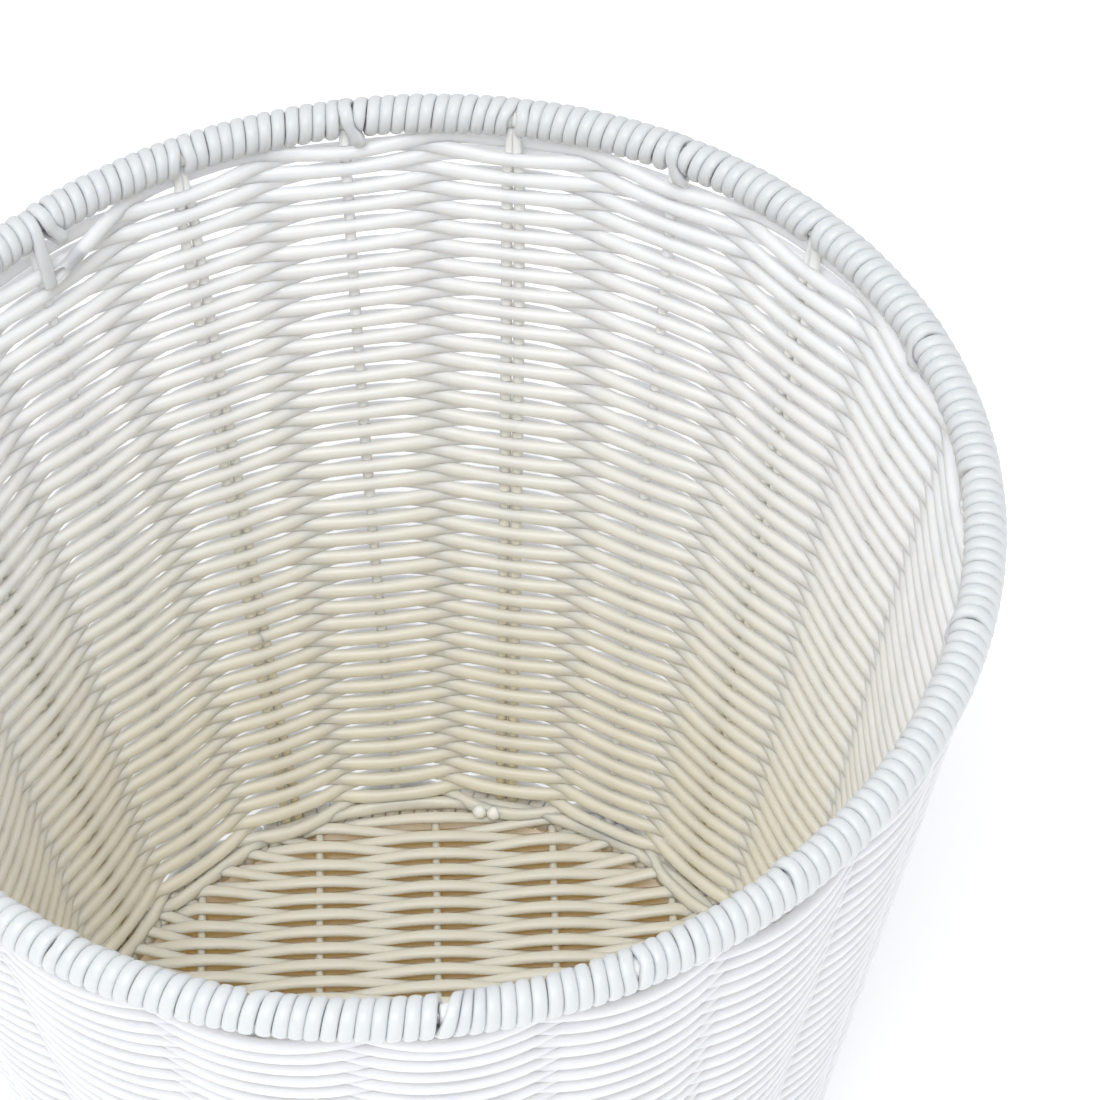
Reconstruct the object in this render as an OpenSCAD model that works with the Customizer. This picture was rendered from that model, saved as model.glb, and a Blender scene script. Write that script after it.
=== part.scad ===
// Round wastebasket of woven plastic strand.
// Two wire hoops, one at the rim and one at the foot, are wrapped with strand and held
// apart by upright stakes. The wall is woven round the stakes, and the base round sticks.
// Origin: middle of the foot on the floor, +Z up through the middle of the rim.

/* [Basket] */
// Diameter of the rim hoop, to the middle of its wire
rim_d = 280; // [250:1:320]
// Diameter of the foot hoop, to the middle of its wire
foot_d = 197; // [180:1:230]
// Overall height, from the floor to the top of the rim
height = 245; // [200:1:320]

/* [Strand and wire] */
// Diameter of the strand that is woven and wrapped
strand_d = 3; // [2.6:0.1:3.4]
// Diameter of the wire in both hoops
wire_d = 3.8; // [3:0.1:5]
// Depth that the wrap is pressed flat where the foot stands on the floor
foot_flat = 0.3; // [0.2:0.1:0.6]

/* [Stakes and sticks] */
// Diameter of an upright stake and of a base stick
rod_d = 2.8; // [2.4:0.1:3.2]
// Number of single stakes, with as many pairs between them
single_count = 10; // [8:1:12]
// Angle from +X to the first pair of stakes
pair_angle = 4.8; // [0:0.1:36]
// Number of sticks that the base is woven on
stick_count = 5; // [3:1:7]
// Distance that the base sticks sit off centre, towards +X
stick_shift = 2.3; // [0:0.1:3]

/* [Hidden] */
// Play between a rod or wire and the strand around it
fit = 0.1;
// Strand left between the two channels of a pair
web = 0.2;

// Radius of a wrapped hoop, and the middle heights of the two hoops
wrap_r = wire_d / 2 + strand_d;
rim_z = height - wrap_r;
foot_z = wrap_r - foot_flat;
rim_r = rim_d / 2;
foot_r = foot_d / 2;

// The wall leans outward along the line from the foot hoop to the rim hoop
lean = atan((rim_r - foot_r) / (rim_z - foot_z));
stake_run = (rim_z - foot_z) / cos(lean);

// Woven sheet: one rod with a strand on each side of it. The wall fills the slope between
// the two wrapped hoops, and the base fills the ring of the foot.
sheet_t = rod_d + 2 * strand_d;
wall_from = wrap_r + fit;
wall_to = stake_run - wrap_r - fit;
base_r = foot_r - wrap_r - fit;

// Courses up the wall and rows across the base, beaten down a little closer than the strand
// is thick
packing = 0.97;
course_count = floor((wall_to - wall_from) / (strand_d * packing));
row_count = floor(2 * base_r / (strand_d * packing)) - 1;

// Spacing of the pairs, of the rods in a pair, and of the base sticks
stake_step = 360 / single_count;
pair_pitch = rod_d + 2 * fit + web;
stick_pitch = foot_d / (stick_count + 1);

// Colours
rim_white = [0.94, 0.95, 0.97];
wall_white = [0.95, 0.95, 0.94];
base_ivory = [0.90, 0.88, 0.80];
wire_steel = [0.70, 0.71, 0.73];

$fn = 96;
rod_fn = 24;

function two_digits(i) = str(i < 10 ? "0" : "", i);
function single_name(i) = str("single_stake_", two_digits(i));
function pair_name(i, side) = str("paired_stake_", two_digits(i), side);
function stick_name(i) = str("base_stick_", i);

// Angles of the i-th single stake and of the i-th pair
function single_at(i) = pair_angle + (i - 0.5) * stake_step;
function pair_at(i) = pair_angle + (i - 1) * stake_step;

// Place of the i-th base stick along X, and half its length
function stick_x(i) = (i - (stick_count + 1) / 2) * stick_pitch + stick_shift;
function stick_half(i) =
    sqrt(pow(foot_r - wire_d / 2 - fit, 2) - pow(abs(stick_x(i)) + rod_d / 2, 2));

// A round bar along the stake line at an angle, between two distances from the foot hoop.
// shift moves it sideways along the wall.
module stake_bar(angle, shift, d, from, to) {
    rotate([0, 0, angle])
        translate([foot_r, shift, foot_z])
            rotate([0, lean, 0])
                translate([0, 0, from])
                    cylinder(d = d, h = to - from, $fn = rod_fn);
}

// A stake, cut off just clear of both hoops
module stake(angle, shift) {
    end_gap = wire_d / 2 + fit;
    color(wall_white) stake_bar(angle, shift, rod_d, end_gap, stake_run - end_gap);
}

// The channels that all stakes run in, between two distances from the foot hoop
module stake_channels(from, to) {
    for (i = [1:single_count]) {
        stake_bar(single_at(i), 0, rod_d + 2 * fit, from, to);
        for (side = [-0.5, 0.5])
            stake_bar(pair_at(i), side * pair_pitch, rod_d + 2 * fit, from, to);
    }
}

// A round bar along the i-th stick line
module stick_bar(i, d, extra) {
    translate([stick_x(i), stick_half(i) + extra, foot_z])
        rotate([90, 0, 0])
            cylinder(d = d, h = 2 * (stick_half(i) + extra), $fn = rod_fn);
}

// The channels that all base sticks run in
module stick_channels() {
    for (i = [1:stick_count]) stick_bar(i, rod_d + 2 * fit, fit);
}

module hoop(r, z) {
    color(wire_steel)
        translate([0, 0, z])
            rotate_extrude() translate([r, 0]) circle(d = wire_d, $fn = rod_fn);
}

// The wrapped strand round a hoop, as a closed sleeve
module sleeve(r, z) {
    translate([0, 0, z])
        rotate_extrude()
            translate([r, 0])
                difference() {
                    circle(r = wrap_r, $fn = 2 * rod_fn);
                    circle(d = wire_d + 2 * fit, $fn = rod_fn);
                }
}

module rim_wrap() {
    color(rim_white)
        difference() {
            sleeve(rim_r, rim_z);
            stake_channels(stake_run - 2 * wrap_r, stake_run);
        }
}

module foot_wrap() {
    color(wall_white)
        difference() {
            sleeve(foot_r, foot_z);
            stake_channels(0, 2 * wrap_r);
            stick_channels();
            translate([0, 0, -wrap_r]) cylinder(r = foot_r + 2 * wrap_r, h = wrap_r);
        }
}

// A cut across the woven sheet from y = from to y = to: a core, with count strands side by
// side on both of its faces, each with a bevelled crown
module woven_section(from, to, count) {
    pitch = (to - from) / count;
    core = rod_d / 2 + strand_d / 2;
    crown = rod_d / 2 + strand_d;
    one_side = [
        for (k = [0:count - 1])
            each [
                [core, from + k * pitch],
                [crown, from + (k + 0.3) * pitch],
                [crown, from + (k + 0.7) * pitch]
            ],
        [core, to]
    ];
    last = len(one_side) - 1;
    other_side = [for (i = [0:last]) [-one_side[last - i][0], one_side[last - i][1]]];
    polygon(concat(one_side, other_side));
}

// The woven wall, as a closed cone with its courses in relief and the stake channels in it
module wall_weave() {
    color(wall_white)
        difference() {
            rotate_extrude()
                translate([foot_r, foot_z])
                    rotate(-lean)
                        woven_section(wall_from, wall_to, course_count);
            stake_channels(0, stake_run);
        }
}

// The woven base, as a closed disc with its rows in relief and the stick channels in it
module base_weave() {
    half_rows = row_count * strand_d * packing / 2;
    color(base_ivory)
        difference() {
            intersection() {
                translate([0, 0, foot_z - sheet_t]) cylinder(r = base_r, h = 2 * sheet_t);
                translate([-foot_r, 0, foot_z])
                    rotate([90, 0, 90])
                        linear_extrude(foot_d)
                            rotate(90)
                                woven_section(-half_rows, half_rows, row_count);
            }
            stick_channels();
        }
}

hoop(rim_r, rim_z);  // rim_hoop
rim_wrap();
hoop(foot_r, foot_z);  // foot_hoop
foot_wrap();
wall_weave();
base_weave();
for (i = [1:stick_count])
    color(base_ivory) stick_bar(i, rod_d, 0);
for (i = [1:single_count])
    stake(single_at(i), 0);
for (i = [1:single_count]) {
    stake(pair_at(i), -pair_pitch / 2);
    stake(pair_at(i), pair_pitch / 2);
}
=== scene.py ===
"""Looks of the woven white wastebasket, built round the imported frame.

Everything is in metres in the frame's own coordinates. Each strand, stake and stick is a tube
swept along a path. The paths are laid out on the ideal basket, and handmade() then gives all
of them the same slight unevenness, so that what touches stays in touch.
"""

import math

import bpy
import numpy as np
from mathutils import Matrix, Vector


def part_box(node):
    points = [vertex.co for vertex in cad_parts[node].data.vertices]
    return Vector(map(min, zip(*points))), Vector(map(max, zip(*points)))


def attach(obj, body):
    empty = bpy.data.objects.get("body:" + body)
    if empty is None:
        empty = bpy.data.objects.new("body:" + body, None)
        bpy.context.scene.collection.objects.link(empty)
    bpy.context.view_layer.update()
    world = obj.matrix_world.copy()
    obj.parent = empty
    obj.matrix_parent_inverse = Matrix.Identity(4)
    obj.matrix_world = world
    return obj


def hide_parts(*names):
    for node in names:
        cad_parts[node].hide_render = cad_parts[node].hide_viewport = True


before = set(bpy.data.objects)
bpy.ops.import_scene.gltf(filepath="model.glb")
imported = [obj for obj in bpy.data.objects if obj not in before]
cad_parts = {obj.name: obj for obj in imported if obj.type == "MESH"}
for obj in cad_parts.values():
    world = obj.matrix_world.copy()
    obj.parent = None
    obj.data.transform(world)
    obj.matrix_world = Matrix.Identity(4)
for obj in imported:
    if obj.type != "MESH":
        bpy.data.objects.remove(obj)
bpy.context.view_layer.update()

MM = 0.001
TAU = 2 * math.pi
DEG = math.pi / 180


# ---------------------------------------------------------------- sizes, from the frame

def ring_of(node):
    """Radius, middle height and tube radius of a hoop or of its wrap."""
    low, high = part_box(node)
    tube = (high.z - low.z) / 2
    return high.x - tube, (low.z + high.z) / 2, tube


def middle_of(node):
    low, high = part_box(node)
    return (low + high) / 2


def nodes_like(start):
    return sorted(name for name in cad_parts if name.startswith(start))


RIM_R, RIM_Z, WIRE_R = ring_of("rim_hoop")
FOOT_R, FOOT_Z, _ = ring_of("foot_hoop")
WRAP_R = ring_of("rim_wrap")[2]
STRAND_R = (WRAP_R - WIRE_R) / 2
STICKS = [(name, middle_of(name).x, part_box(name)[1].y) for name in nodes_like("base_stick_")]
STICK_PITCH = STICKS[1][1] - STICKS[0][1]
ROD_R = (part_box("base_stick_1")[1].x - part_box("base_stick_1")[0].x) / 2

LEAN = math.atan((RIM_R - FOOT_R) / (RIM_Z - FOOT_Z))
WALL_RUN = (RIM_Z - FOOT_Z) / math.cos(LEAN)
PAIR_A, PAIR_B = middle_of("paired_stake_01a"), middle_of("paired_stake_01b")
PAIR_PITCH = (PAIR_A - PAIR_B).length
PAIR_ANGLE = math.atan2(PAIR_A.y + PAIR_B.y, PAIR_A.x + PAIR_B.x)
STAKES = 2 * len(nodes_like("single_stake_"))
STAKE_STEP = TAU / STAKES


# ---------------------------------------------------------------- paths on the ideal basket

def polar(theta, r, z):
    """Points from an angle round the basket, a radius and a height."""
    theta, r, z = np.broadcast_arrays(theta, r, z)
    return np.stack([r * np.cos(theta), r * np.sin(theta), z], -1)


def on_wall(theta, h, n):
    """A point h up the slope from the foot hoop and n outward from the wall's middle."""
    r = FOOT_R + h * math.sin(LEAN) + n * math.cos(LEAN)
    z = FOOT_Z + h * math.cos(LEAN) - n * math.sin(LEAN)
    return polar(theta, r, z)


def wall_normal(theta):
    return polar(theta, math.cos(LEAN), -math.sin(LEAN))


def wander(rng, count, every, size):
    """A smooth run of values that takes a new random level every so many steps."""
    levels = rng.normal(0, size, int(count / every) + 3)
    x = np.arange(count) / every
    i = x.astype(int)
    blend = (1 - np.cos(math.pi * (x - i))) / 2
    return levels[i] * (1 - blend) + levels[i + 1] * blend


def bump(x, middle, width):
    """A smooth hump of height 1 at the middle."""
    return np.exp(-((x - middle) / width) ** 2)


def rise(x, start, end):
    """0 before the start, 1 after the end, and smooth between."""
    t = np.clip((x - start) / (end - start), 0, 1)
    return t * t * (3 - 2 * t)


def handmade(points):
    """The shared unevenness: an out-of-round rim, and courses and stakes that sway a little."""
    x, y, z = points[..., 0], points[..., 1], points[..., 2]
    theta, r = np.arctan2(y, x), np.hypot(x, y)
    up = np.clip((z - FOOT_Z) / (RIM_Z - FOOT_Z), 0, 1.05)
    middle = np.sin(math.pi * np.clip(up, 0, 1))
    # swell and dent are in and out, sway is sideways, and lift and roll are up and down.
    swell = 0.010 * np.sin(2 * theta) + 0.007 * np.cos(3 * theta) + 0.005 * np.sin(3 * theta)
    dent = 0.5 * MM * np.sin(3 * theta + 1.0) * np.sin(TAU * up)
    sway = 0.9 * MM * np.sin(4 * theta + 0.7) * middle + 0.4 * MM * np.sin(9 * theta) * middle
    lift = up * RIM_R * (0.018 * np.sin(2 * theta) - 0.004 * np.cos(2 * theta))
    roll = 0.5 * MM * np.sin(5 * theta + 9 * up) * middle
    roll = roll + 0.3 * MM * np.sin(11 * theta + 3) * middle
    grown = r * (1 + up * swell) + dent * (r > 0.8 * FOOT_R)
    turned = theta + sway / np.maximum(r, FOOT_R)
    return polar(turned, grown, z + lift + roll * (up > 0))


# ---------------------------------------------------------------- tubes and meshes

# The ring past a cut end: its size, and how far out it stands, both as shares of the tube's
CAP_SIZE = 0.72
CAP_REACH = 0.35
# How far across the wall's middle a strand's colour turns from the outer to the inner one
COLOUR_BLEND = 5 * MM


def sweep(path, outward, deep, wide, sides=12, power=2.0):
    """Rings of points round a path. deep is the half size along outward, and wide across it."""
    along = np.gradient(path, axis=0)
    along /= np.linalg.norm(along, axis=1)[:, None]
    out = outward - (outward * along).sum(1)[:, None] * along
    out /= np.linalg.norm(out, axis=1)[:, None]
    across = np.cross(along, out)
    turn = TAU * np.arange(sides) / sides
    c, s = np.cos(turn), np.sin(turn)
    c = np.sign(c) * np.abs(c) ** (2 / power)
    s = np.sign(s) * np.abs(s) ** (2 / power)
    deep = np.broadcast_to(deep, len(path))[:, None, None]
    wide = np.broadcast_to(wide, len(path))[:, None, None]
    return path[:, None] + deep * c[:, None] * out[:, None] + wide * s[:, None] * across[:, None]


def round_ends(rings):
    """Adds a smaller ring past each end, so that a cut end has a soft edge."""
    def cap(end, inner):
        middle = end.mean(0)
        away = middle - inner.mean(0)
        reach = np.linalg.norm(end - middle, axis=1).mean()
        return middle + (end - middle) * CAP_SIZE + away / np.linalg.norm(away) * reach * CAP_REACH
    first, last = cap(rings[0], rings[1]), cap(rings[-1], rings[-2])
    return np.concatenate([first[None], rings, last[None]])


def piece(name, tubes, material, replaces=(), tones=None):
    """One mesh object from tubes, with its length, girth, tone and side kept for the material."""
    verts, faces, uvs, shades = [], [], [], []
    start = 0
    for k, rings in enumerate(tubes):
        n, sides = rings.shape[:2]
        middles = rings.mean(1)
        run = np.concatenate([[0], np.cumsum(np.linalg.norm(np.diff(middles, axis=0), axis=1))])
        i = np.arange(n - 1)[:, None]
        j = np.arange(sides)[None]
        nxt = (j + 1) % sides
        here_i, next_i = i * sides, (i + 1) * sides
        quads = np.stack([here_i + j, here_i + nxt, next_i + nxt, next_i + j], -1)
        faces.extend((quads.reshape(-1, 4) + start).tolist())
        around = np.broadcast_to(j / sides, (n - 1, sides))
        here = np.broadcast_to(run[:-1, None], (n - 1, sides))
        ahead = np.broadcast_to(run[1:, None], (n - 1, sides))
        uv = np.stack([
            np.stack([here, around], -1), np.stack([here, around + 1 / sides], -1),
            np.stack([ahead, around + 1 / sides], -1), np.stack([ahead, around], -1),
        ], 2)
        uvs.append(uv.reshape(-1, 2))
        faces.append([start + q for q in reversed(range(sides))])
        faces.append([start + (n - 1) * sides + q for q in range(sides)])
        uvs.append(np.zeros((2 * sides, 2)))
        verts.append(rings.reshape(-1, 3))
        shades.append(np.full(n * sides, 0.5 if tones is None else tones[k]))
        start += n * sides
    points = np.concatenate(verts)
    # Which side of the wall's middle a point lies on, for the painted inside and outside copies of
    # a colour
    wall_r = FOOT_R + (points[:, 2] - FOOT_Z) * math.tan(LEAN)
    out_by = np.hypot(points[:, 0], points[:, 1]) - wall_r
    inside = np.clip(0.5 - out_by / COLOUR_BLEND, 0, 1)
    mesh = bpy.data.meshes.new(name)
    mesh.from_pydata(handmade(points).tolist(), [], faces)
    mesh.uv_layers.new(name="strand").data.foreach_set("uv", np.concatenate(uvs).ravel())
    mesh.attributes.new("tone", "FLOAT", "POINT").data.foreach_set("value", np.concatenate(shades))
    mesh.attributes.new("inside", "FLOAT", "POINT").data.foreach_set("value", inside)
    mesh.polygons.foreach_set("use_smooth", np.ones(len(mesh.polygons), bool))
    mesh.materials.append(material)
    made = bpy.data.objects.new(name, mesh)
    bpy.context.scene.collection.objects.link(made)
    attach(made, "root")
    if replaces:
        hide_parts(*replaces)
    return made


# ---------------------------------------------------------------- materials

def plastic(name, low, high, outer=None, span=(0.0, 1.0), roughness=0.4, depth=2.4):
    """Drawn plastic strand: fine lines along it, faint mottling, and light that soaks in.

    Inside the basket its colour goes from low to high over a span of heights, given as shares
    of the rim's. Outside it is the outer colour. Where these differ they are painted shade and
    bounced light, lit and shaded copies of one plastic. depth is how far light soaks in, in mm.
    """
    material = bpy.data.materials.new(name)
    material.use_nodes = True
    nodes, links = material.node_tree.nodes, material.node_tree.links
    nodes.clear()
    out = nodes.new("ShaderNodeOutputMaterial")
    shader = nodes.new("ShaderNodeBsdfPrincipled")
    links.new(shader.outputs["BSDF"], out.inputs["Surface"])

    uv = nodes.new("ShaderNodeUVMap")
    uv.uv_map = "strand"
    stretch = nodes.new("ShaderNodeMapping")
    stretch.inputs["Scale"].default_value = (60, 26, 1)
    links.new(uv.outputs["UV"], stretch.inputs["Vector"])
    lines = nodes.new("ShaderNodeTexNoise")
    lines.inputs["Scale"].default_value = 1.0
    lines.inputs["Detail"].default_value = 3.0
    links.new(stretch.outputs["Vector"], lines.inputs["Vector"])

    place = nodes.new("ShaderNodeTexCoord")
    apart = nodes.new("ShaderNodeSeparateXYZ")
    links.new(place.outputs["Object"], apart.inputs["Vector"])
    height = nodes.new("ShaderNodeMapRange")
    height.inputs["From Min"].default_value = span[0] * RIM_Z
    height.inputs["From Max"].default_value = span[1] * RIM_Z
    links.new(apart.outputs["Z"], height.inputs["Value"])
    body = nodes.new("ShaderNodeMix")
    body.data_type = "RGBA"
    body.inputs["A"].default_value = (*low, 1)
    body.inputs["B"].default_value = (*high, 1)
    links.new(height.outputs["Result"], body.inputs["Factor"])
    inside = nodes.new("ShaderNodeAttribute")
    inside.attribute_name = "inside"
    sided = nodes.new("ShaderNodeMix")
    sided.data_type = "RGBA"
    sided.inputs["A"].default_value = (*(outer or high), 1)
    links.new(body.outputs["Result"], sided.inputs["B"])
    links.new(inside.outputs["Fac"], sided.inputs["Factor"])

    mottle = nodes.new("ShaderNodeTexNoise")
    mottle.inputs["Scale"].default_value = 38.0
    mottle.inputs["Detail"].default_value = 2.0
    links.new(place.outputs["Object"], mottle.inputs["Vector"])
    tone = nodes.new("ShaderNodeAttribute")
    tone.attribute_name = "tone"
    both = nodes.new("ShaderNodeMath")
    both.operation = "ADD"
    links.new(mottle.outputs["Fac"], both.inputs[0])
    links.new(tone.outputs["Fac"], both.inputs[1])
    shade = nodes.new("ShaderNodeMapRange")
    shade.inputs["From Min"].default_value = 0.4
    shade.inputs["From Max"].default_value = 1.6
    shade.inputs["To Min"].default_value = 0.965
    shade.inputs["To Max"].default_value = 1.015
    links.new(both.outputs["Value"], shade.inputs["Value"])
    tinted = nodes.new("ShaderNodeVectorMath")
    tinted.operation = "SCALE"
    links.new(sided.outputs["Result"], tinted.inputs["Vector"])
    links.new(shade.outputs["Result"], tinted.inputs["Scale"])
    links.new(tinted.outputs["Vector"], shader.inputs["Base Color"])

    rough = nodes.new("ShaderNodeMapRange")
    rough.inputs["To Min"].default_value = roughness - 0.07
    rough.inputs["To Max"].default_value = roughness + 0.09
    links.new(lines.outputs["Fac"], rough.inputs["Value"])
    links.new(rough.outputs["Result"], shader.inputs["Roughness"])

    relief = nodes.new("ShaderNodeBump")
    relief.inputs["Strength"].default_value = 0.25
    relief.inputs["Distance"].default_value = 0.12 * MM
    links.new(lines.outputs["Fac"], relief.inputs["Height"])
    links.new(relief.outputs["Normal"], shader.inputs["Normal"])

    shader.inputs["IOR"].default_value = 1.5
    shader.inputs["Subsurface Weight"].default_value = 1.0
    shader.inputs["Subsurface Radius"].default_value = (1.0, 0.93, 0.82)
    shader.inputs["Subsurface Scale"].default_value = depth * MM
    return material


def wire_steel():
    """Drawn steel wire, with fine marks along it."""
    material = bpy.data.materials.new("hoop_steel")
    material.use_nodes = True
    nodes, links = material.node_tree.nodes, material.node_tree.links
    shader = nodes["Principled BSDF"]
    uv = nodes.new("ShaderNodeUVMap")
    uv.uv_map = "strand"
    stretch = nodes.new("ShaderNodeMapping")
    stretch.inputs["Scale"].default_value = (40, 60, 1)
    marks = nodes.new("ShaderNodeTexNoise")
    marks.inputs["Scale"].default_value = 1.0
    ramp = nodes.new("ShaderNodeValToRGB")
    ramp.color_ramp.elements[0].color = (0.40, 0.41, 0.43, 1)
    ramp.color_ramp.elements[1].color = (0.62, 0.63, 0.65, 1)
    links.new(uv.outputs["UV"], stretch.inputs["Vector"])
    links.new(stretch.outputs["Vector"], marks.inputs["Vector"])
    links.new(marks.outputs["Fac"], ramp.inputs["Fac"])
    links.new(ramp.outputs["Color"], shader.inputs["Base Color"])
    links.new(marks.outputs["Fac"], shader.inputs["Roughness"])
    shader.inputs["Metallic"].default_value = 1.0
    return material


OUTER_WHITE = (0.85, 0.86, 0.885)
FOOT_SHADE_CREAM = (0.83, 0.78, 0.66)
STICK_SHADE_CREAM = (0.70, 0.67, 0.57)
ROD_DEPTH = 1.2

RIM_PLASTIC = plastic("rim_plastic", (0.70, 0.722, 0.73), (0.71, 0.732, 0.74))
# Painted shade and bounce light: the wall's one plastic is painted as lit and shaded copies. Inside
# the basket it goes darker and warmer towards the bottom, for the shade and the warm light bounced
# about inside; outside it is one cooler white, dimmer than the inside's top.
WALL_PLASTIC = plastic("wall_plastic", (0.83, 0.775, 0.645), (0.97, 0.96, 0.965),
                       outer=OUTER_WHITE, span=(0.25, 1.05), depth=5.0)
# Painted shade: the base's strands are painted dark brown below the base's middle height, for the
# shaded gaps between the rows, and above that a dimmer cream, for the shade at the bottom of the
# basket
BASE_PLASTIC = plastic("base_plastic", (0.42, 0.25, 0.06), (0.75, 0.725, 0.64),
                       span=(0.0190, 0.0235))
# Painted shade: the foot's wrap is painted cream on its inner side, for the warm shade it lies in
# at the bottom of the basket; its outer side is the outside's white
FOOT_PLASTIC = plastic("foot_plastic", FOOT_SHADE_CREAM, FOOT_SHADE_CREAM, outer=OUTER_WHITE)
# Painted shade: the stakes go darker and warmer towards the bottom, a little for the single ones
# and to amber for the pairs, for the shade and warm bounced light deep in the basket
ROD_PLASTIC = plastic("rod_plastic", (0.95, 0.93, 0.86), (0.97, 0.97, 0.95), depth=ROD_DEPTH)
# Painted shade: the base's sticks, under the rows, are a still dimmer cream
STICK_PLASTIC = plastic("stick_plastic", STICK_SHADE_CREAM, STICK_SHADE_CREAM)
PAIR_PLASTIC = plastic("pair_plastic", (0.95, 0.82, 0.58), (0.97, 0.95, 0.90),
                       span=(0.0, 0.7), depth=ROD_DEPTH)
STEEL = wire_steel()


# ---------------------------------------------------------------- wall

# Gaps between stakes that each weaver crosses, points along a gap, and courses up the wall
GAPS = 767
GAP_STEPS = 12
COURSES = 2 * GAPS / STAKES
# Lengths that each weaver is joined from
LENGTHS = 6

# Half a strand's width at a stake and, in shares of a course, in the middle of a gap
ROUND_R = 1.12 * STRAND_R
GAP_WIDE = 0.56
# What it gains in width at a stake by the rim and by the foot, as shares, and beside a stake
RIM_FULLER = 0.08
FOOT_FULLER = 0.17
SHOULDER = 0.26 * MM

# How far a strand swings in and out at a stake, and how near it comes to a wrapped hoop
REACH = 0.94 * (ROD_R + STRAND_R)
PRESSED = 0.90 * (WRAP_R + STRAND_R)

# Slope heights of the lowest and highest course, and how much the spacing grows on the way up
FIRST_COURSE = 0.20 * PRESSED
LAST_COURSE = WALL_RUN - WRAP_R - STRAND_R + 0.2 * MM
COURSE_RUN = LAST_COURSE - FIRST_COURSE
PITCH_GROWTH = 0.06

# Near the foot strands hang lower at stakes, and are tucked in at stakes and between them.
# Near the rim they hang lower at stakes.
FOOT_DROOP = 2.2 * MM
FOOT_TUCK = 2.2 * MM
GAP_TUCK = 3.5 * MM
RIM_DROOP = 2.2 * MM

# The first strand lies in the corner above the foot, and comes away over these courses
CORNER_H = 3.8 * MM
CORNER_N = -4.2 * MM
CORNER_FROM, CORNER_TO = 0.5, 1.1

# The last strand stops this share of a gap short of its stake, and turns inward and down
END_SHORT = 0.10
END_N = -6.4 * MM
END_DROP = 4.8 * MM

# The hollow end: how slanting its cut is, and its bore as a share of the strand
CUT_SLANT = 2.0
BORE = 0.80


def broad(wave, near):
    """A cosine with broader humps, as a stiff strand bends round a rod."""
    return wave * (1.15 - 0.15 * near)


def course_height(course):
    x = course / COURSES
    return FIRST_COURSE + COURSE_RUN * ((1 - PITCH_GROWTH) * x + PITCH_GROWTH * x * x)


def course_pitch(course):
    x = course / COURSES
    return COURSE_RUN / COURSES * (1 - PITCH_GROWTH + 2 * PITCH_GROWTH * x)


def weaver_path(which, gaps, rng):
    """Angle, slope height and outward offset of a weaver, with how near it is to a stake.

    Two weavers chase each other, half a turn apart. Each goes in front of one stake and
    behind the next. What happens by the foot and the rim fades over a few courses.
    """
    course = 2 * gaps / STAKES
    theta = PAIR_ANGLE + (gaps + which * STAKES / 2) * STAKE_STEP
    wave = (1 if which == 0 else -1) * np.cos(math.pi * gaps)
    near = wave * wave
    wave = broad(wave, near)
    loose = 1 + 2.0 * np.exp((course - COURSES) / 4)
    h = course_height(course) - FOOT_DROOP * np.exp(-course / 4) * near ** 0.5
    h = h - RIM_DROOP * np.exp((course - COURSES) / 2.5) * near
    h = h + wander(rng, len(gaps), GAP_STEPS, 0.15 * MM) * loose
    swing = np.maximum(REACH, np.sqrt(np.maximum(PRESSED ** 2 - h ** 2, 0)))
    n = (swing + wander(rng, len(gaps), 2 * GAP_STEPS, 0.10 * MM)) * wave
    n = n - FOOT_TUCK * np.exp(-course / 3) * (1 - wave) / 2
    n = n - GAP_TUCK * np.exp(-course / 2) * (1 - near)
    h = np.maximum(h, 0.9 * np.sqrt(np.maximum(PRESSED ** 2 - n ** 2, 0)))
    pressed = 1 - rise(course, CORNER_FROM, CORNER_TO)
    h = h * (1 - pressed) + CORNER_H * pressed
    n = n * (1 - pressed) + CORNER_N * pressed
    return theta, h, n, near, course


def weaver_tube(theta, h, n, near, course):
    """The tube of a weaver: flattened against its neighbours between stakes, round at them."""
    fuller = 1 + RIM_FULLER * np.exp((course - COURSES) / 10) + FOOT_FULLER * np.exp(-course / 9)
    wide = GAP_WIDE * (1 - near) * course_pitch(course) + near * ROUND_R * fuller
    wide = wide + SHOULDER * np.sin(math.pi * np.sqrt(near))
    deep = STRAND_R * (1.05 - 0.04 * near)
    return sweep(on_wall(theta, h, n), wall_normal(theta), deep, wide, sides=14, power=2.4)


def make_wall():
    """The wall's weavers, each in lengths that meet at a stake."""
    cuts = [round(GAPS * k / LENGTHS) for k in range(LENGTHS + 1)]
    for which, letter in enumerate("ab"):
        for k in range(LENGTHS):
            rng = np.random.default_rng(100 * which + k)
            last = k == LENGTHS - 1
            stop = cuts[k + 1] - (END_SHORT if last else 0.0)
            gaps = np.linspace(cuts[k], stop, int((stop - cuts[k]) * GAP_STEPS) + 1)
            theta, h, n, near, course = weaver_path(which, gaps, rng)
            if last:
                leaving = rise(gaps, stop - 0.9, stop + 0.3)
                n = n * (1 - leaving) + END_N * leaving
                h = h - END_DROP * leaving
            tube = weaver_tube(theta, h, n, near, course)
            tube = hollow_end(tube) if last else round_ends(tube)
            piece(f"wall_weaver_{letter}{k + 1}", [tube], WALL_PLASTIC,
                  ["wall_weave"], [rng.uniform(0.3, 0.7)])


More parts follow.
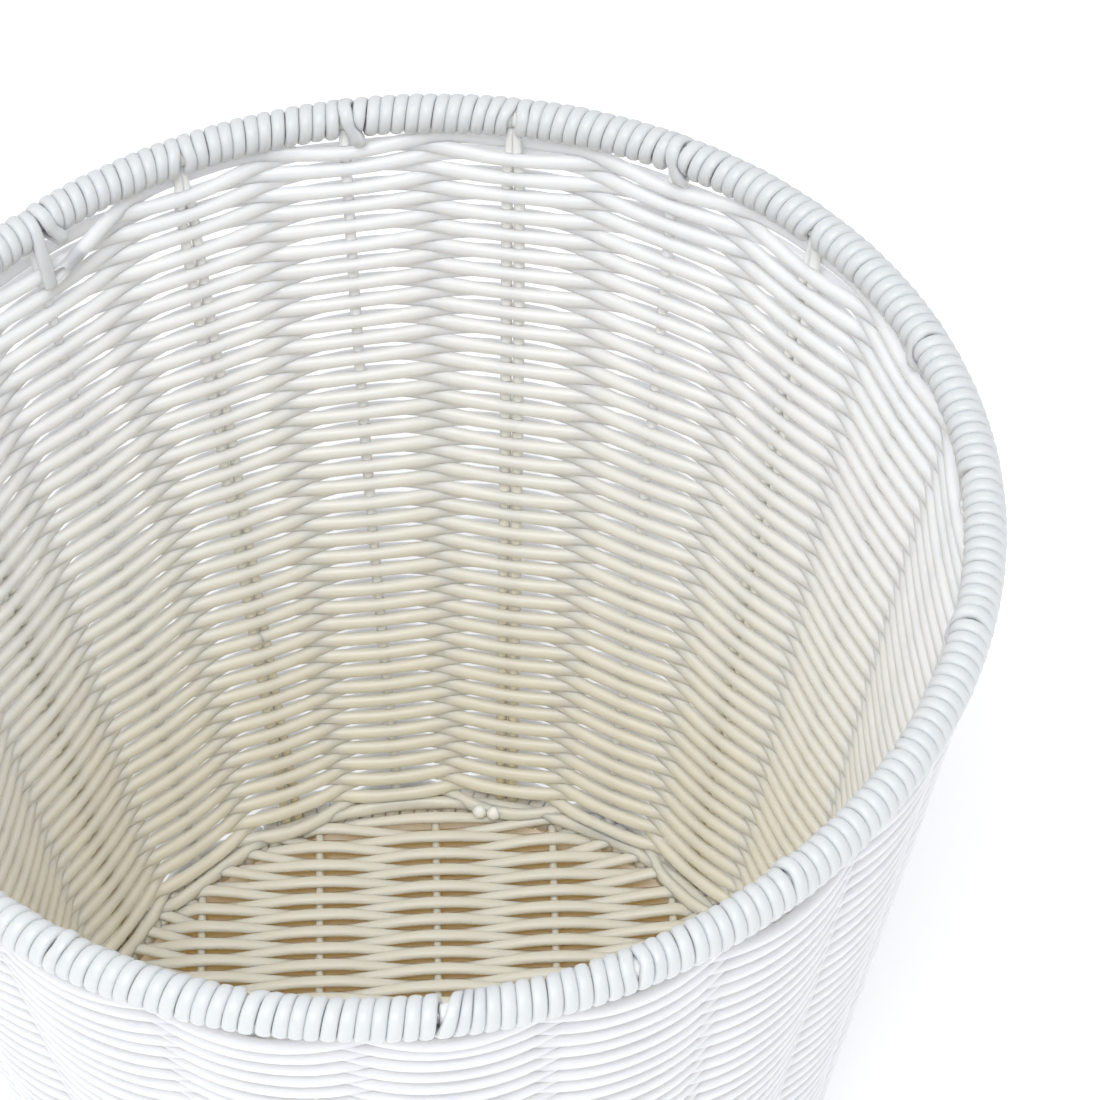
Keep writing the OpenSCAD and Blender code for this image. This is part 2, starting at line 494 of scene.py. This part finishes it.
def hollow_end(rings):
    """Ends a tube in a slanting cut that shows it is hollow."""
    end, before = rings[-1], rings[-2]
    middle = end.mean(0)
    along = middle - before.mean(0)
    along /= np.linalg.norm(along)
    facing = np.array([-middle[0], -middle[1], np.hypot(middle[0], middle[1])])
    side = (end - middle) @ (facing / np.linalg.norm(facing))
    slant = CUT_SLANT * (side.max() - side)[:, None] * along
    lips = [end + slant, middle + slant + (end - middle) * BORE]
    # The bore narrows a little on its way in
    inner = [middle + slant * 0.9 + (end - middle) * 0.74 - along * MM,
             middle + (end - middle) * 0.72 - along * 6 * MM]
    return np.concatenate([rings, lips, inner])


# ---------------------------------------------------------------- stakes

# Half a stake's thickness, and how far inside the wall's middle the stakes stand
STAKE_R = 1.05 * ROD_R
STAKE_IN = 0.7 * MM
# The flat end over the rim hoop: half its thickness, and half its width for a rod of a pair
# and for a single one
LOOP_DEEP = 0.5 * MM
PAIR_SPREAD, SINGLE_SPREAD = 1.7 * MM, 2.6 * MM


def stake_loop(theta, spread):
    """The flattened end of a stake, bent over the rim hoop under the wrap."""
    phi = np.linspace(math.radians(-50), math.radians(255), 30)
    r = WIRE_R + LOOP_DEEP
    path = polar(theta, RIM_R + r * np.cos(phi), RIM_Z + r * np.sin(phi))
    outward = polar(theta, np.cos(phi), np.sin(phi))
    return sweep(path, outward, LOOP_DEEP, spread, sides=8)


def make_stakes():
    """All stakes from hoop to hoop. The rods of a pair close up just below the rim."""
    rng = np.random.default_rng(7)
    h = np.linspace(WIRE_R, WALL_RUN - WIRE_R, 48)
    for i in range(STAKES // 2):
        pair = PAIR_ANGLE + 2 * i * STAKE_STEP
        rods = [(f"paired_stake_{i + 1:02d}a", pair, -PAIR_PITCH / 2, PAIR_PLASTIC),
                (f"paired_stake_{i + 1:02d}b", pair, PAIR_PITCH / 2, PAIR_PLASTIC),
                (f"single_stake_{i + 1:02d}", pair + STAKE_STEP, 0, ROD_PLASTIC)]
        for name, angle, shift, material in rods:
            drift = wander(rng, len(h), 12, 0.05 * MM)
            closing = 1 - 0.7 * rise(h, WALL_RUN - 15 * MM, WALL_RUN - 8 * MM)
            r = FOOT_R + h * math.sin(LEAN) - STAKE_IN
            theta = angle + (shift * closing + drift) / r
            path = polar(theta, r, FOOT_Z + h * math.cos(LEAN))
            rod = round_ends(sweep(path, wall_normal(theta), STAKE_R, STAKE_R))
            spread = PAIR_SPREAD if shift else SINGLE_SPREAD
            loop = stake_loop(angle + 0.7 * shift / RIM_R, spread)
            tone = rng.uniform(0.2, 0.8)
            piece(f"rod_{name}", [rod, loop], material, [name], [tone, tone])


# ---------------------------------------------------------------- wrapped hoops

# Turns of the rim's wrap for each pair of stakes and in all, and turns of the foot's wrap
PER_PAIR = 25
RIM_TURNS = PER_PAIR * STAKES // 2
FOOT_TURNS = 152
# Points along a turn, half the wrap's thickness, and how far the rim's bulges past the CAD's
TURN_STEPS = 24
WRAP_DEEP = 0.9 * STRAND_R
RIM_SWELL = 0.3 * MM
# Where the rim's wrap starts round the basket, and where its first and last turn start and
# stop round the wire, counted from the outside over the top
WRAP_START = PAIR_ANGLE + 7 * STAKE_STEP
HEAD_AT = 200 * DEG
TAIL_FROM = 196 * DEG
# The pair where the turns part on top instead of inside, and the first turn past a slack gap
LENS_PAIR = 4
SLACK_TURN = 4 * PER_PAIR


def wound(ring_r, ring_z, pitch, phi, theta, minor):
    """Path, outward directions and half widths of a strand wound round a hoop."""
    path = polar(theta, ring_r + minor * np.cos(phi), ring_z + minor * np.sin(phi))
    outward = polar(theta, np.cos(phi), np.sin(phi))
    return path, outward, 0.5 * pitch * (1 + minor * np.cos(phi) / ring_r)


def make_rim():
    """The rim's wrap. It runs anticlockwise seen from above, over the top and down inside.

    At a single stake one turn leans back across the others and hooks lower. At a pair two
    turns part and let the stakes through. The last turn leans too, and the end of the strand
    comes over the top beside it and hangs down inside. In the code phi runs on along the whole
    strand, a is the angle round the wire, and place counts the turns from the last single stake.
    """
    rng = np.random.default_rng(11)
    end = TAU * RIM_TURNS
    phi = np.arange(HEAD_AT, end + TAIL_FROM, TAU / TURN_STEPS)
    a = phi % TAU
    turn = (phi / TAU).astype(int)
    place = turn % PER_PAIR
    pitch = TAU * RIM_R / RIM_TURNS
    theta = WRAP_START - 0.5 * pitch / RIM_R + phi / RIM_TURNS

    forward = wander(rng, len(phi), TURN_STEPS, 0.035 * pitch)
    minor = WRAP_R + RIM_SWELL - WRAP_DEEP + wander(rng, len(phi), TURN_STEPS, 0.05 * MM)
    thin = np.ones(len(phi))

    last = RIM_TURNS - 1
    tie = ((place == 0) & (turn > 0) & (turn <= last)) | (turn == last)
    vigour = rng.uniform(0.75, 1.15, RIM_TURNS + 1)
    vigour[last], vigour[SLACK_TURN] = 1.1, 0.1
    vigour = vigour[turn]
    lean = 4.2 * MM * bump(a, 232 * DEG, 58 * DEG) - 0.7 * MM * bump(a, 75 * DEG, 38 * DEG)
    forward = forward - tie * vigour * lean
    hook = 1.0 * MM * bump(a, 118 * DEG, 42 * DEG) + 2.7 * MM * bump(a, 224 * DEG, 34 * DEG)
    minor = minor + tie * vigour * hook
    # The turns on both sides of a leaning one close up under it. Each pair below is a turn
    # and how far it is pushed forward, in mm.
    for step, push in ((PER_PAIR - 1, 0.4), (1, -0.5)):
        forward = forward + (place == step) * push * MM * bump(a, 225 * DEG, 60 * DEG)

    pair = (turn // PER_PAIR) % (STAKES // 2)
    apex = rng.uniform(70, 115, STAKES // 2)[pair] * DEG
    opened = rng.uniform(0.45, 0.85, STAKES // 2)[pair]
    parting = opened * rise(a, apex, apex + 80 * DEG) * (1 - rise(a, 280 * DEG, 335 * DEG))
    parting = np.where(pair == LENS_PAIR, 0.45 * bump(a, 60 * DEG, 45 * DEG), parting)
    middle = PER_PAIR // 2
    for step, push in ((-2, -0.3), (-1, -0.8), (0, -1.7), (1, 1.7), (2, 0.8), (3, 0.3)):
        here = place == middle + step
        forward = forward + here * push * MM * parting
        thin = thin - here * 0.10 * parting * (1 if abs(push) > 0.5 else 0.5)

    # The turns past the slack gap lean forward, which opens it to a V
    for step, push in ((0, 2.9), (1, 1.7), (2, 0.6)):
        into = phi - TAU * (SLACK_TURN + step)
        leaning = np.interp(into, [-50 * DEG, 125 * DEG, 190 * DEG, 310 * DEG], [0, 1, 1, 0])
        forward = forward + push * MM * leaning

    # The strand's end lifts off, hangs down inside, and is smoothed over the bend
    minor = minor + 0.8 * MM * rise(phi, end + 60 * DEG, end + TAIL_FROM)
    path, outward, wide = wound(RIM_R, RIM_Z, pitch, phi, theta + forward / RIM_R, minor)
    h = WALL_RUN - np.linspace(5, 15, 12) * MM
    down = on_wall(WRAP_START + 0.6 * MM / RIM_R, h, -5.6 * MM)
    path = np.concatenate([path, down])
    bend = 26
    for _ in range(8):
        path[-bend:-1] = (path[-bend - 1:-2] + 2 * path[-bend:-1] + path[-bend + 1:]) / 4
    outward = np.concatenate([outward, -wall_normal(np.full(len(h), WRAP_START))])
    wide = np.concatenate([wide * thin, np.full(len(h), 0.5 * pitch)])
    tube = round_ends(sweep(path, outward, WRAP_DEEP, wide, power=2.5))
    piece("rim_wrap_strand", [tube], RIM_PLASTIC, ["rim_wrap"])


def make_foot():
    """The foot's wrap, pressed flat where it stands on the floor."""
    rng = np.random.default_rng(12)
    phi = TAU * np.arange(FOOT_TURNS * TURN_STEPS + 1) / TURN_STEPS
    pitch = TAU * FOOT_R / FOOT_TURNS
    theta = PAIR_ANGLE + phi / FOOT_TURNS + wander(rng, len(phi), TURN_STEPS, 0.06 * pitch) / FOOT_R
    minor = WRAP_R - WRAP_DEEP + wander(rng, len(phi), TURN_STEPS, 0.08 * MM)
    path, outward, wide = wound(FOOT_R, FOOT_Z, pitch, phi, theta, minor)
    tube = sweep(path, outward, WRAP_DEEP, wide, power=2.5)
    tube[..., 2] = np.maximum(tube[..., 2], 0)
    piece("foot_wrap_strand", [tube], FOOT_PLASTIC, ["foot_wrap"])


def make_hoops():
    for name, r, z in (("rim_hoop", RIM_R, RIM_Z), ("foot_hoop", FOOT_R, FOOT_Z)):
        theta = np.linspace(0, TAU - 0.001, 361)
        tube = sweep(polar(theta, r, z), polar(theta, 1, 0), WIRE_R, WIRE_R)
        piece(f"{name}_wire", [tube], STEEL, [name])


# ---------------------------------------------------------------- base

# Spacing of the rows, height of the base's middle, how far a row swings up and down at a
# stick, and the spacing of the points along it
ROW_PITCH = 2.84 * MM
BASE_Z = FOOT_Z + 1.0 * MM
ROW_REACH = 0.74 * REACH
STEP = 1.8 * MM
# How far short of the foot hoop a row ends, and how high there, when it last passed under a
# stick (so its end comes up) and when it last passed over one
UP_SHORT, DOWN_SHORT = 2.4 * MM, 4.4 * MM
UP_END, DOWN_END = 3.4 * MM, -1.0 * MM
# How far the outermost row's end fans out
FAN = 2.6 * MM
# The two rounded stake ends: how far past the pair they stand, and half their distance
ENDS_PAST = 2.7 * DEG
ENDS_APART = 2.1 * MM


def base_row(y, parity, rng):
    """One row of the base, over and under the sticks it reaches, its ends tucked at the foot."""
    crossed = [x for _, x, half in STICKS if half > abs(y) + 2 * ROD_R]
    if not crossed:
        crossed = [STICKS[2][1]]

    def level(x):
        return np.cos(math.pi * ((x - STICKS[0][1]) / STICK_PITCH + parity))

    def end_x(side):
        up = level(crossed[-1 if side > 0 else 0]) < 0
        end_r = FOOT_R - (UP_SHORT if up else DOWN_SHORT)
        return side * math.sqrt(end_r ** 2 - y ** 2), up

    (left, left_up), (right, right_up) = end_x(-1), end_x(1)
    x = np.linspace(left, right, max(14, int((right - left) / STEP)))
    sign = level(x)
    near = sign * sign
    z = BASE_Z + ROW_REACH * broad(sign, near)
    ends = ((-1, crossed[0], left, left_up), (1, crossed[-1], right, right_up))
    for side, edge, reach, up in ends:
        past = side * (x - edge)
        ease = rise(past, 0, max(side * (reach - edge), STEP))
        held = BASE_Z + ROW_REACH * float(level(edge))
        target = BASE_Z + (UP_END if up else DOWN_END)
        z = np.where(past > 0, held * (1 - ease) + target * ease, z)
    fan = FAN * (y / FOOT_R) * rise(np.hypot(x, y), 0.80 * FOOT_R, FOOT_R)
    yy = y + fan + wander(rng, len(x), 6, 0.08 * MM)
    path = np.stack([x, yy, z], -1)
    wide = 0.52 * (1 - near) * ROW_PITCH + 1.08 * near * ROUND_R
    outward = np.tile([0.0, 0.0, 1.0], (len(x), 1))
    return round_ends(sweep(path, outward, 0.9 * STRAND_R, wide, power=2.2))


def domed_rod(foot, head, radius):
    """A short rod with a rounded head, like a stake's end that was melted over."""
    along = head - foot
    length = np.linalg.norm(along)
    along = along / length
    side = np.cross(along, [0.0, 0.0, 1.0])
    shaft = length - radius
    dome = np.linspace(0.2, 1.45, 6)
    t = np.concatenate([np.linspace(0, shaft, 6), shaft + radius * np.sin(dome)])
    size = np.concatenate([np.full(6, radius), radius * np.cos(dome)])
    path = foot + t[:, None] * along
    return sweep(path, np.tile(side, (len(t), 1)), size, size)


def make_base():
    """The base's rows and sticks. No row lies at the very back, beside the foot's wrap."""
    rows = round(2 * (FOOT_R - WRAP_R) / ROW_PITCH)
    tubes, tones = [], []
    for j in range(rows - 1):
        rng = np.random.default_rng(500 + j)
        tubes.append(base_row((j - (rows - 1) / 2) * ROW_PITCH, j % 2, rng))
        tones.append(rng.uniform(0.3, 0.7))
    piece("base_rows", tubes, BASE_PLASTIC, ["base_weave"], tones)
    for name, x, half in STICKS:
        y = np.linspace(-half, half, 60)
        path = np.stack([np.full_like(y, x), y, np.full_like(y, BASE_Z)], -1)
        normal = np.tile([0.0, 0.0, 1.0], (len(y), 1))
        rod = round_ends(sweep(path, normal, 0.9 * ROD_R, 0.85 * ROD_R))
        piece(f"rod_{name}", [rod], STICK_PLASTIC, [name])


def make_stake_ends():
    """The two lower ends of one pair of stakes, hooked inward over the foot."""
    angle = PAIR_ANGLE + 4 * STAKE_STEP + ENDS_PAST
    ends = []
    for side in (-1, 1):
        theta = angle + side * ENDS_APART / FOOT_R
        head = polar(theta, FOOT_R - WRAP_R - 2.6 * MM, FOOT_Z + 6.0 * MM)
        foot = polar(theta, FOOT_R - WRAP_R + 1.5 * MM, FOOT_Z + 2.0 * MM)
        ends.append(domed_rod(foot, head, 1.5 * ROD_R))
    piece("stake_ends", ends, ROD_PLASTIC)


# ---------------------------------------------------------------- studio

FLOOR_HALF = 6.0


def make_floor():
    """A white floor that glows a little. Under the basket the glow is brown, which the gaps of
    the base show."""
    mesh = bpy.data.meshes.new("floor")
    s = FLOOR_HALF
    mesh.from_pydata([(-s, -s, 0), (s, -s, 0), (s, s, 0), (-s, s, 0)], [], [(0, 1, 2, 3)])
    floor = bpy.data.objects.new("floor", mesh)
    bpy.context.scene.collection.objects.link(floor)
    material = bpy.data.materials.new("floor_white")
    material.use_nodes = True
    nodes, links = material.node_tree.nodes, material.node_tree.links
    shader = nodes["Principled BSDF"]
    shader.inputs["Base Color"].default_value = (0.97, 0.97, 0.97, 1)
    shader.inputs["Roughness"].default_value = 0.8
    place = nodes.new("ShaderNodeTexCoord")
    away = nodes.new("ShaderNodeVectorMath")
    away.operation = "LENGTH"
    share = nodes.new("ShaderNodeMapRange")
    share.inputs["From Max"].default_value = 2 * FOOT_R
    # Painted light: under the basket the floor glows brown, standing in for the warm shade seen
    # through the base's gaps; further out it glows evenly white
    glow = nodes.new("ShaderNodeValToRGB")
    glow.color_ramp.elements[0].position = 0.46
    glow.color_ramp.elements[0].color = (0.12, 0.07, 0.0, 1)
    glow.color_ramp.elements[1].position = 0.53
    glow.color_ramp.elements[1].color = (0.30, 0.30, 0.30, 1)
    links.new(place.outputs["Object"], away.inputs[0])
    links.new(away.outputs["Value"], share.inputs["Value"])
    links.new(share.outputs["Result"], glow.inputs["Fac"])
    links.new(glow.outputs["Color"], shader.inputs["Emission Color"])
    shader.inputs["Emission Strength"].default_value = 1.0
    mesh.materials.append(material)


def softbox(name, place, aim, size, watts, colour):
    data = bpy.data.lights.new(name, "AREA")
    data.shape = "RECTANGLE"
    data.size, data.size_y = size
    data.energy = watts
    data.color = colour
    light = bpy.data.objects.new(name, data)
    light.location = place
    light.rotation_euler = (Vector(aim) - Vector(place)).to_track_quat("-Z", "Y").to_euler()
    bpy.context.scene.collection.objects.link(light)


def make_light():
    world = bpy.data.worlds.new("studio")
    world.use_nodes = True
    background = world.node_tree.nodes["Background"]
    background.inputs["Color"].default_value = (0.95, 0.965, 1.0, 1)
    background.inputs["Strength"].default_value = 0.63
    bpy.context.scene.world = world
    softbox("front", (-0.25, -0.80, 2.05), (0, 0, 0.12), (1.0, 0.9), 27, (0.99, 1.0, 0.995))
    bpy.context.scene.view_settings.view_transform = "Standard"


def make_camera():
    """The photograph's view: from above the front, through a long lens, turned a little."""
    elevation, roll = math.radians(50.06), math.radians(-1.96)
    distance = 8.916 * RIM_R
    focal_share = 4.785
    aim = Vector((0.266 * RIM_R, -0.048 * RIM_R, RIM_Z))
    forward = Vector((0, math.cos(elevation), -math.sin(elevation)))
    right = Vector((1, 0, 0))
    up = right.cross(forward)
    tilted_right = math.cos(roll) * right + math.sin(roll) * up
    tilted_up = -math.sin(roll) * right + math.cos(roll) * up
    data = bpy.data.cameras.new("camera")
    data.sensor_width = 36
    data.lens = focal_share * data.sensor_width
    camera = bpy.data.objects.new("camera", data)
    turn = Matrix((tilted_right, tilted_up, -forward)).transposed()
    camera.matrix_world = Matrix.Translation(aim - distance * forward) @ turn.to_4x4()
    bpy.context.scene.collection.objects.link(camera)
    bpy.context.scene.camera = camera


make_camera()
make_light()
make_floor()
make_wall()
make_stakes()
make_rim()
make_foot()
make_hoops()
make_base()
make_stake_ends()
